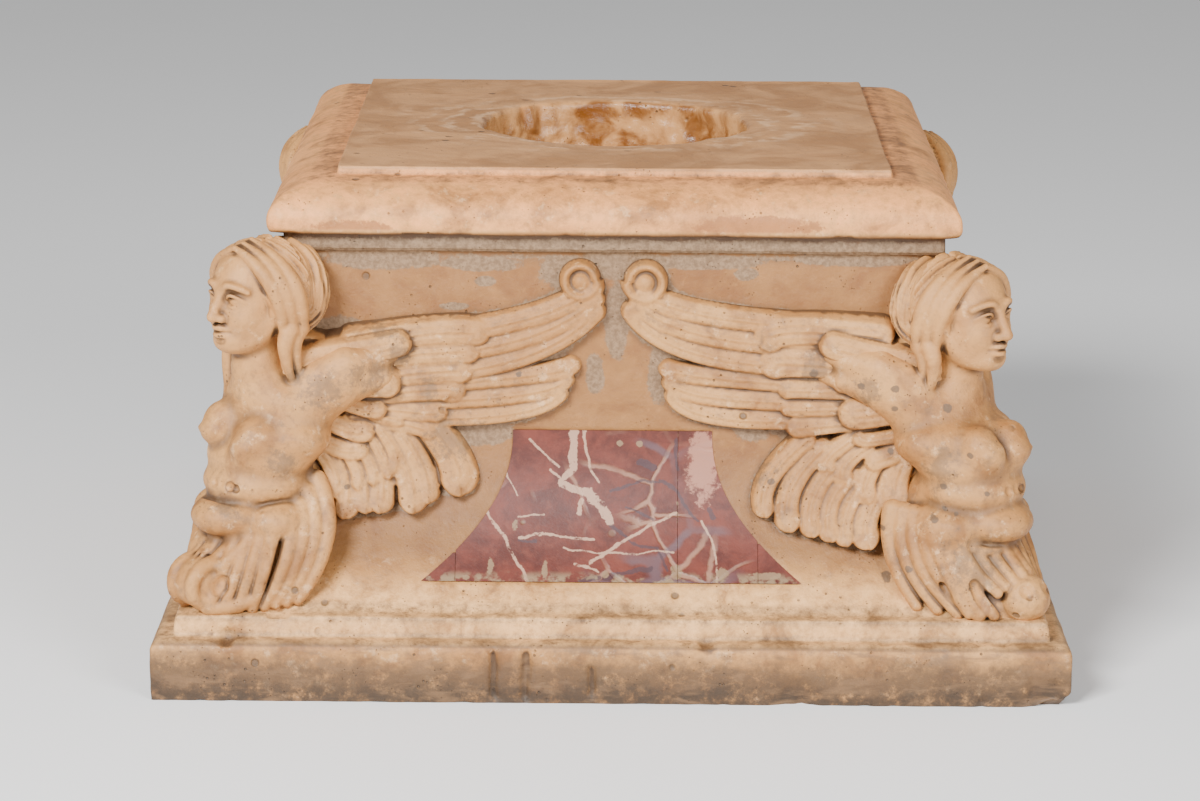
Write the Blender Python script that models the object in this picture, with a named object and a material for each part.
"""Marble pedestal with a winged figure carved at each corner and a red marble inlay in each face.

The block is one carved stone: a plinth, a die that flares out towards it, a cushion-shaped
cap with a raised square panel, and a round socket in the top. Units are metres, +Z is up and
the origin is the centre of the underside. The front face looks towards -Y.
"""

import math

import bmesh
import bpy
from mathutils import Matrix, Vector

# Plinth and the flat fillet on it
PLINTH_WIDTH = 0.600
PLINTH_HEIGHT = 0.040
PLINTH_EDGE_RADIUS = 0.007
FILLET_WIDTH = 0.570
FILLET_HEIGHT = 0.0135

# Die: upright above, flaring out to the fillet below
DIE_WIDTH = 0.424
DIE_FOOT_WIDTH = 0.552
DIE_HEIGHT = 0.2305
FLARE_HEIGHT = 0.1165
FLARE_POWER = 2.3

# Band under the cap, the cap and its raised panel
BAND_WIDTH = 0.434
BAND_HEIGHT = 0.011
CAP_WIDTH = 0.454
CAP_HEIGHT = 0.0325
CAP_UPRIGHT = 0.009
CAP_TOP_WIDTH = 0.372
PANEL_WIDTH = 0.366
PANEL_HEIGHT = 0.0055

# Socket in the top
SOCKET_RADIUS = 0.093
SOCKET_DEPTH = 0.060

# Red marble inlay: a slab that follows the face, in a recess of its own outline
INLAY_TOP_WIDTH = 0.132
INLAY_FOOT_WIDTH = 0.250
INLAY_HEIGHT = 0.0915
INLAY_ABOVE_FILLET = 0.0165
INLAY_THICKNESS = 0.010
INLAY_SINK = 0.0004
INLAY_GAP = 0.0006
JOINT_GAP = 0.0003
FRONT_JOINT_SHARES = (-0.824, 0.348, 0.772)

# Mesh fineness
EDGE_STEPS = 4
CAP_STEPS = 6
SOCKET_SIDES = 40
INLAY_STEPS = 8
FIGURE_TRIANGLES_KEPT = 0.0235
CUTTER_MARGIN = 0.020

FILLET_TOP = PLINTH_HEIGHT + FILLET_HEIGHT
DIE_TOP = FILLET_TOP + DIE_HEIGHT
CAP_BOTTOM = DIE_TOP + BAND_HEIGHT
CAP_TOP = CAP_BOTTOM + CAP_HEIGHT
PANEL_TOP = CAP_TOP + PANEL_HEIGHT
FIGURE_HEIGHT = CAP_BOTTOM - FILLET_TOP
INLAY_FOOT = FILLET_TOP + INLAY_ABOVE_FILLET
INLAY_TOP = INLAY_FOOT + INLAY_HEIGHT
FRONT_JOINTS = tuple(joint * INLAY_FOOT_WIDTH / 2 for joint in FRONT_JOINT_SHARES)

MARBLE_COLOUR = (0.74, 0.58, 0.42, 1.0)
RED_MARBLE_COLOUR = (0.42, 0.15, 0.12, 1.0)
HIDDEN_FACES = {"right": 90, "back": 180, "left": 270}


def clear_scene():
    for obj in list(bpy.data.objects):
        bpy.data.objects.remove(obj)


def stone(name, colour, roughness):
    material = bpy.data.materials.new(name)
    material.use_nodes = True
    shader = material.node_tree.nodes["Principled BSDF"]
    shader.inputs["Base Color"].default_value = colour
    shader.inputs["Roughness"].default_value = roughness
    shader.inputs["Metallic"].default_value = 0.0
    return material


def object_from(name, mesh_builder, material=None):
    mesh = bpy.data.meshes.new(name)
    bmesh.ops.recalc_face_normals(mesh_builder, faces=mesh_builder.faces)
    mesh_builder.to_mesh(mesh)
    mesh_builder.free()
    obj = bpy.data.objects.new(name, mesh)
    bpy.context.scene.collection.objects.link(obj)
    if material:
        mesh.materials.append(material)
    return obj


def make_helper(obj):
    """A guide or a tool of a Boolean, left out of the model itself."""
    obj.hide_render = True
    obj.display_type = "WIRE"
    return obj


def loft(bm, rings):
    """A closed skin over rings of equal length, with a cap on each end."""
    rows = [[bm.verts.new(point) for point in ring] for ring in rings]
    count = len(rows[0])
    for lower, upper in zip(rows, rows[1:]):
        for i in range(count):
            j = (i + 1) % count
            bm.faces.new((lower[i], lower[j], upper[j], upper[i]))
    bm.faces.new(rows[0][::-1])
    bm.faces.new(rows[-1])


def flare(share):
    """How far the flare has gone, 0 to 1, at this share of the way down it."""
    return max(0.0, share) ** FLARE_POWER


def die_half_width(z):
    """Half the width of the die at height z, the distance of its face from the axis."""
    down = (FILLET_TOP + FLARE_HEIGHT - z) / FLARE_HEIGHT
    reach = (DIE_FOOT_WIDTH - DIE_WIDTH) / 2
    return DIE_WIDTH / 2 + reach * flare(min(1.0, down))


def face_levels():
    """Heights at which the block's face and the inlay bend together, with one at the top of
    each joint that ends on the inlay's curved side."""
    levels = [INLAY_FOOT + INLAY_HEIGHT * step / INLAY_STEPS for step in range(INLAY_STEPS + 1)]
    widening = (INLAY_FOOT_WIDTH - INLAY_TOP_WIDTH) / 2
    for joint in FRONT_JOINTS:
        beyond = abs(joint) - INLAY_TOP_WIDTH / 2
        if beyond > 0:
            levels.append(INLAY_TOP - INLAY_HEIGHT * (beyond / widening) ** (1 / FLARE_POWER))
    return sorted(levels)


def block_profile():
    """(half width, height) of the block's square sections from the underside up."""
    plinth_half = PLINTH_WIDTH / 2
    edge_centre = PLINTH_HEIGHT - PLINTH_EDGE_RADIUS
    profile = [(plinth_half, 0.0)]
    for step in range(EDGE_STEPS + 1):
        turn = math.pi / 2 * step / EDGE_STEPS
        inset = PLINTH_EDGE_RADIUS * (1 - math.cos(turn))
        profile.append((plinth_half - inset, edge_centre + PLINTH_EDGE_RADIUS * math.sin(turn)))
    profile.append((FILLET_WIDTH / 2, PLINTH_HEIGHT))
    profile.append((FILLET_WIDTH / 2, FILLET_TOP))
    profile.append((die_half_width(FILLET_TOP), FILLET_TOP))
    profile.extend((die_half_width(z), z) for z in face_levels())
    profile.append((DIE_WIDTH / 2, FILLET_TOP + FLARE_HEIGHT))
    profile.append((DIE_WIDTH / 2, DIE_TOP))
    profile.append((BAND_WIDTH / 2, DIE_TOP))
    profile.append((BAND_WIDTH / 2, CAP_BOTTOM))
    profile.append((CAP_WIDTH / 2, CAP_BOTTOM))
    cushion_reach = (CAP_WIDTH - CAP_TOP_WIDTH) / 2
    cushion_rise = CAP_HEIGHT - CAP_UPRIGHT
    for step in range(CAP_STEPS + 1):
        turn = math.pi / 2 * step / CAP_STEPS
        half = CAP_TOP_WIDTH / 2 + cushion_reach * math.cos(turn)
        profile.append((half, CAP_BOTTOM + CAP_UPRIGHT + cushion_rise * math.sin(turn)))
    profile.append((PANEL_WIDTH / 2, CAP_TOP))
    profile.append((PANEL_WIDTH / 2, PANEL_TOP))
    return profile


def square_ring(half, z):
    return [(-half, -half, z), (half, -half, z), (half, half, z), (-half, half, z)]


def plain_block(material):
    bm = bmesh.new()
    loft(bm, [square_ring(half, z) for half, z in block_profile()])
    return object_from("marble_block", bm, material)


def socket_cutter():
    bm = bmesh.new()
    height = SOCKET_DEPTH + CUTTER_MARGIN
    middle = PANEL_TOP - SOCKET_DEPTH + height / 2
    bmesh.ops.create_cone(
        bm,
        cap_ends=True,
        segments=SOCKET_SIDES,
        radius1=SOCKET_RADIUS,
        radius2=SOCKET_RADIUS,
        depth=height,
        matrix=Matrix.Translation((0.0, 0.0, middle)),
    )
    return make_helper(object_from("socket_cutter", bm))


# The inlay


def inlay_half_width(z):
    """The inlay's sides curve out as the die does."""
    down = (INLAY_TOP - z) / INLAY_HEIGHT
    return INLAY_TOP_WIDTH / 2 + (INLAY_FOOT_WIDTH - INLAY_TOP_WIDTH) / 2 * flare(down)


def section(z):
    """(half width of the inlay, distance of the face) at a level."""
    return inlay_half_width(z), die_half_width(z)


def sections_up_to(inner):
    """(height, half width, face) at the levels where the inlay is wider than inner, and at the
    height between two of them where it becomes as narrow as that."""
    levels = face_levels()
    found = [(z, *section(z)) for z in levels if inlay_half_width(z) >= inner]
    if len(found) < len(levels):
        below = found[-1]
        z = levels[len(found)]
        above = (z, *section(z))
        part_way = (below[1] - inner) / (below[1] - above[1])
        found.append(tuple(a + (b - a) * part_way for a, b in zip(below, above)))
    return found


def veneer(name, left, right, front, back, grow=0.0, material=None):
    """The part of the inlay between two upright joints, between two depths behind the face.

    grow widens the outline all round, and a front below zero stands proud of the face."""
    sections = sections_up_to(max(left, -right, 0.0) + JOINT_GAP)
    if grow:
        lowest, highest = sections[0], sections[-1]
        sections = [(lowest[0] - grow, *lowest[1:]), *sections, (highest[0] + grow, *highest[1:])]
    rings = []
    for z, half, face in sections:
        half += grow
        x0, x1 = max(left, -half), min(right, half)
        y0, y1 = front - face, back - face
        rings.append([(x0, y0, z), (x1, y0, z), (x1, y1, z), (x0, y1, z)])
    bm = bmesh.new()
    loft(bm, rings)
    return object_from(name, bm, material)


def inlay_pieces(material):
    """Four fitted pieces in front, and one slab in each hidden face."""
    edges = (-INLAY_FOOT_WIDTH / 2, *FRONT_JOINTS, INLAY_FOOT_WIDTH / 2)
    names = ("inlay_front_left_corner", "inlay_front_main", "inlay_front_right", "inlay_front_right_corner")
    pieces = []
    for name, left, right in zip(names, edges, edges[1:]):
        x0 = left + (JOINT_GAP / 2 if left in FRONT_JOINTS else 0.0)
        x1 = right - (JOINT_GAP / 2 if right in FRONT_JOINTS else 0.0)
        pieces.append(veneer(name, x0, x1, INLAY_SINK, INLAY_THICKNESS, 0.0, material))
    for face, degrees in HIDDEN_FACES.items():
        slab = veneer(f"inlay_{face}", edges[0], edges[-1], INLAY_SINK, INLAY_THICKNESS, 0.0, material)
        slab.rotation_euler = (0.0, 0.0, math.radians(degrees))
        pieces.append(slab)
    return pieces


def recess_cutters():
    """One cutter for each face's recess, wider and deeper than the slabs by the gap."""
    reach = INLAY_FOOT_WIDTH
    cutters = []
    for turn in range(4):
        depth = INLAY_THICKNESS + INLAY_GAP
        cutter = veneer(f"recess_cutter_{turn}", -reach, reach, -CUTTER_MARGIN, depth, INLAY_GAP)
        cutter.rotation_euler = (0.0, 0.0, math.radians(90 * turn))
        cutters.append(make_helper(cutter))
    return cutters


# The carved corner: a winged woman down to the hips, ending in leaves and a curled foot.
# Its points are in hundredths of the figure's height. A body point is (out, side, up): out from
# the die's corner along the diagonal, side across it, up from the fillet. A wing point is
# (across, up): across from the middle of the face, in hundredths of the die's half width.


def share(value):
    return value * FIGURE_HEIGHT / 100


def body_point(out, side, up):
    reach = DIE_WIDTH / math.sqrt(2) + share(out)
    x = (-reach + share(side)) / math.sqrt(2)
    y = (-reach - share(side)) / math.sqrt(2)
    return Vector((x, y, FILLET_TOP + share(up)))


def wing_point(across, up, lift):
    z = FILLET_TOP + share(up)
    return Vector((-across * DIE_WIDTH / 200, -die_half_width(z) - share(lift), z))


def blob(bm, centre, radii):
    """An egg, with its radii along out, side and up."""
    across = Matrix.Rotation(math.radians(-135), 4, "Z")
    size = Matrix.Diagonal((share(radii[0]), share(radii[1]), share(radii[2]), 1.0))
    place = Matrix.Translation(body_point(*centre)) @ across @ size
    bmesh.ops.create_icosphere(bm, subdivisions=3, radius=1.0, matrix=place)


def tube(bm, points, radii, sides=10):
    """A round limb through points, with a radius at each."""
    rings = []
    for i, point in enumerate(points):
        ahead = points[min(i + 1, len(points) - 1)] - points[max(i - 1, 0)]
        turn = ahead.to_track_quat("Z", "Y")
        ring = []
        for k in range(sides):
            angle = math.tau * k / sides
            spoke = Vector((math.cos(angle), math.sin(angle), 0.0)) * radii[i]
            ring.append(point + turn @ spoke)
        rings.append(ring)
    loft(bm, rings)


def bent(first, middle, last, t):
    """A point on the quadratic curve that leaves first towards middle and ends at last."""
    return tuple(
        (1 - t) ** 2 * a + 2 * t * (1 - t) * b + t**2 * c for a, b, c in zip(first, middle, last)
    )


def limb(bm, first, middle, last, start_radius, end_radius, steps=8):
    places = [body_point(*bent(first, middle, last, i / steps)) for i in range(steps + 1)]
    radii = [share(start_radius + (end_radius - start_radius) * i / steps) for i in range(steps + 1)]
    tube(bm, places, radii)


FEATHER_STEPS = 10
FEATHER_ROUNDING = 0.28


def feather(bm, root, middle, tip, half_width, lift, root_lift):
    """A blade that lies on the face, with a crowned top, a rounded end and its foot in the stone."""
    rings = []
    for step in range(FEATHER_STEPS + 1):
        t = step / FEATHER_STEPS
        here = Vector(bent(root, middle, tip, t))
        ahead = Vector(bent(root, middle, tip, min(1.0, t + 0.05)))
        behind = Vector(bent(root, middle, tip, max(0.0, t - 0.05)))
        along = ahead - behind
        along.x *= DIE_WIDTH / 2 / FIGURE_HEIGHT
        along.normalize()
        past = max(0.0, (t - 1 + FEATHER_ROUNDING) / FEATHER_ROUNDING)
        half = half_width * math.sqrt(max(0.02, 1 - past**2))
        top = root_lift + (lift - root_lift) * t
        ring = []
        for side, height in ((-1, -3), (-1, 0.55), (-0.4, 1), (0.4, 1), (1, 0.55), (1, -3)):
            across = here.x - side * half * along.y * FIGURE_HEIGHT / (DIE_WIDTH / 2)
            up = here.y + side * half * along.x
            ring.append(wing_point(across, up, top * height if height > 0 else height))
        rings.append(ring)
    loft(bm, rings)


# Each tier of feathers: how many, half width, lift at the tip and at the root, then root,
# middle and tip of its first feather and of its last.
FEATHER_TIERS = (
    (4, 3.2, 4.4, 6.0, ((61, 72.0), (35, 76.0), (12, 88.0)), ((56, 56.5), (21, 60.0), (4, 83.0))),
    (3, 3.0, 3.8, 5.6, ((59, 56.5), (33, 57.5), (11, 64.0)), ((56, 49.0), (33, 48.5), (16, 55.0))),
    (4, 4.0, 6.6, 8.5, ((80, 69.0), (58, 74.5), (39, 75.0)), ((80, 52.0), (66, 51.5), (52, 51.0))),
    (5, 4.6, 5.6, 9.0, ((88, 46.0), (89, 32.0), (83, 20.0)), ((75, 51.0), (57, 46.5), (43, 31.0))),
    (4, 3.6, 8.2, 10.5, ((91, 46.0), (90, 38.0), (85, 28.5)), ((82, 51.0), (73, 46.5), (63, 36.0))),
    (4, 4.8, 9.0, 12.0, ((90, 64.0), (76, 72.5), (62, 72.0)), ((92, 50.0), (84, 46.5), (75, 44.5))),
)
SCROLL_CENTRE = (9.8, 88.0)
SCROLL_RADIUS = 4.0
SCROLL_THICKNESS = 1.8


def wing(bm):
    for count, half_width, lift, root_lift, first, last in FEATHER_TIERS:
        for i in range(count):
            t = i / (count - 1)
            places = [
                tuple(a + (b - a) * t for a, b in zip(start, end)) for start, end in zip(first, last)
            ]
            feather(bm, *places, half_width, lift, root_lift)
    ring_steps = 12
    turns = [math.tau * i / ring_steps for i in range(ring_steps + 1)]
    stretch = FIGURE_HEIGHT / (DIE_WIDTH / 2)
    places = [
        wing_point(
            SCROLL_CENTRE[0] + SCROLL_RADIUS * math.cos(a) * stretch,
            SCROLL_CENTRE[1] + SCROLL_RADIUS * math.sin(a),
            3.2,
        )
        for a in turns
    ]
    tube(bm, places[:-1], [share(SCROLL_THICKNESS)] * ring_steps)
    tube(
        bm,
        [wing_point(*SCROLL_CENTRE, lift) for lift in (-3, 3, 4.6)],
        [share(4.0), share(3.6), share(1.6)],
    )


def head_and_hair(bm):
    blob(bm, (13.6, 0, 84.5), (13.2, 11.6, 14.6))
    blob(bm, (19.6, 0, 76.0), (6.6, 6.6, 6.2))
    limb(bm, (25.6, 0, 87.0), (28.4, 0, 84.0), (29.0, 0, 80.8), 1.5, 2.4, 4)
    blob(bm, (8.0, 0, 90.5), (13.0, 12.4, 8.6))
    for side in (-1, 1):
        blob(bm, (5.5, 10.5 * side, 82.0), (11.0, 5.6, 12.5))
        limb(bm, (21.5, 2.5 * side, 96.0), (13.5, 18.5 * side, 86.0), (10.5, 13.8 * side, 73.5), 2.8, 3.6)
        limb(bm, (10.5, 13.8 * side, 73.5), (0.5, 15.0 * side, 70.5), (-1.5, 12.8 * side, 84.0), 3.6, 2.8)
        limb(bm, (6.5, 11.0 * side, 72.0), (9.5, 12.5 * side, 68.0), (10.0, 10.5 * side, 63.0), 3.4, 1.6, 5)


def torso(bm):
    limb(bm, (8.5, 0, 78.0), (10.5, 0, 69.0), (9.0, 0, 62.0), 7.0, 9.0)
    blob(bm, (5.0, 0, 54.5), (14.5, 16.0, 13.0))
    blob(bm, (8.5, 0, 41.0), (13.8, 13.0, 12.0))
    blob(bm, (18.0, 0, 31.0), (13.4, 12.5, 8.2))
    for side in (-1, 1):
        shoulder = body_point(2.0, 13.5 * side, 59.0)
        elbow = body_point(-1.5, 22.0 * side, 64.0)
        wrist = body_point(-8.5, 34.0 * side, 69.0)
        tube(bm, [shoulder, elbow, wrist], [share(8.4), share(7.2), share(2.4)])
        blob(bm, (18.4, 8.8 * side, 47.0), (7.4, 7.4, 7.0))
        blob(bm, (15.5, 8.8 * side, 31.0), (11.0, 8.6, 8.4))


# How far each head is held out and up from the common place
HEAD_SHIFTS = {
    "front_left": (0.8, 1.0),
    "front_right": (-1.5, -3.0),
    "back_right": (-1.0, -1.5),
    "back_left": (-4.0, -1.0),
}
LEAVES = 5


def leaves_and_foot(bm):
    """Long leaves sweep from the hips to the corner, where the foot curls."""
    limb(bm, (8.0, 0, 26.0), (14.0, 0, 12.0), (24.0, 0, 1.0), 13.0, 13.0)
    for side in (-1, 1):
        for i in range(LEAVES):
            t = i / (LEAVES - 1)
            first = (2.0 + 19.0 * t, (19.0 - 13.0 * t) * side, 29.0 - 7.0 * t)
            middle = (6.0 + 19.0 * t, (26.0 - 16.0 * t) * side, 14.0 - 1.0 * t)
            last = (17.0 + 18.0 * t, (18.5 - 12.5 * t) * side, 1.0 + 3.0 * t)
            limb(bm, first, middle, last, 3.6, 2.2)
    curl_steps = 9
    curl = []
    for i in range(curl_steps + 1):
        turn = math.radians(140 - 330 * i / curl_steps)
        reach = 5.4 - 2.2 * i / curl_steps
        curl.append(body_point(35.0 + reach * math.cos(turn), 0, 8.6 + reach * math.sin(turn)))
    tube(bm, curl, [share(3.0)] * len(curl))
    blob(bm, (34.5, 0, 8.6), (5.0, 5.6, 6.4))


def mirror_across_diagonal(bm):
    """Adds the other wing: what lies on the front face is repeated on the left face."""
    swap = Matrix(((0, 1, 0, 0), (1, 0, 0, 0), (0, 0, 1, 0), (0, 0, 0, 1)))
    copied = bmesh.ops.duplicate(bm, geom=bm.verts[:] + bm.edges[:] + bm.faces[:])["geom"]
    points = [item for item in copied if isinstance(item, bmesh.types.BMVert)]
    faces = [item for item in copied if isinstance(item, bmesh.types.BMFace)]
    bmesh.ops.transform(bm, matrix=swap, verts=points)
    bmesh.ops.reverse_faces(bm, faces=faces)


def corner_figures():
    """The same figure turned to each corner, with its head held a little differently."""
    figures = []
    for turn, (corner, (out, up)) in enumerate(HEAD_SHIFTS.items()):
        bm = bmesh.new()
        wing(bm)
        mirror_across_diagonal(bm)
        wings = set(bm.verts)
        head_and_hair(bm)
        head = [point for point in bm.verts if point not in wings]
        bmesh.ops.translate(bm, verts=head, vec=body_point(out, 0, up) - body_point(0, 0, 0))
        torso(bm)
        leaves_and_foot(bm)
        figure = object_from(f"figure_{corner}", bm)
        figure.rotation_euler = (0.0, 0.0, math.radians(90 * turn))
        figures.append(figure)
    for figure in figures:
        skin = figure.modifiers.new("one_skin", "REMESH")
        skin.mode = "VOXEL"
        skin.voxel_size = share(1.0)
        worn = figure.modifiers.new("worn", "SMOOTH")
        worn.factor = 0.5
        worn.iterations = 2
        fewer = figure.modifiers.new("fewer_faces", "DECIMATE")
        fewer.ratio = FIGURE_TRIANGLES_KEPT
        make_helper(figure)
    return figures


def boolean(obj, tool, operation):
    modifier = obj.modifiers.new(tool.name, "BOOLEAN")
    modifier.operation = operation
    modifier.solver = "MANIFOLD" if operation == "UNION" else "EXACT"
    modifier.object = tool


def main():
    clear_scene()
    marble = stone("marble", MARBLE_COLOUR, 0.55)
    red_marble = stone("red_marble", RED_MARBLE_COLOUR, 0.45)
    block = plain_block(marble)
    for figure in corner_figures():
        boolean(block, figure, "UNION")
    for cutter in recess_cutters():
        boolean(block, cutter, "DIFFERENCE")
    boolean(block, socket_cutter(), "DIFFERENCE")
    inlay_pieces(red_marble)


main()
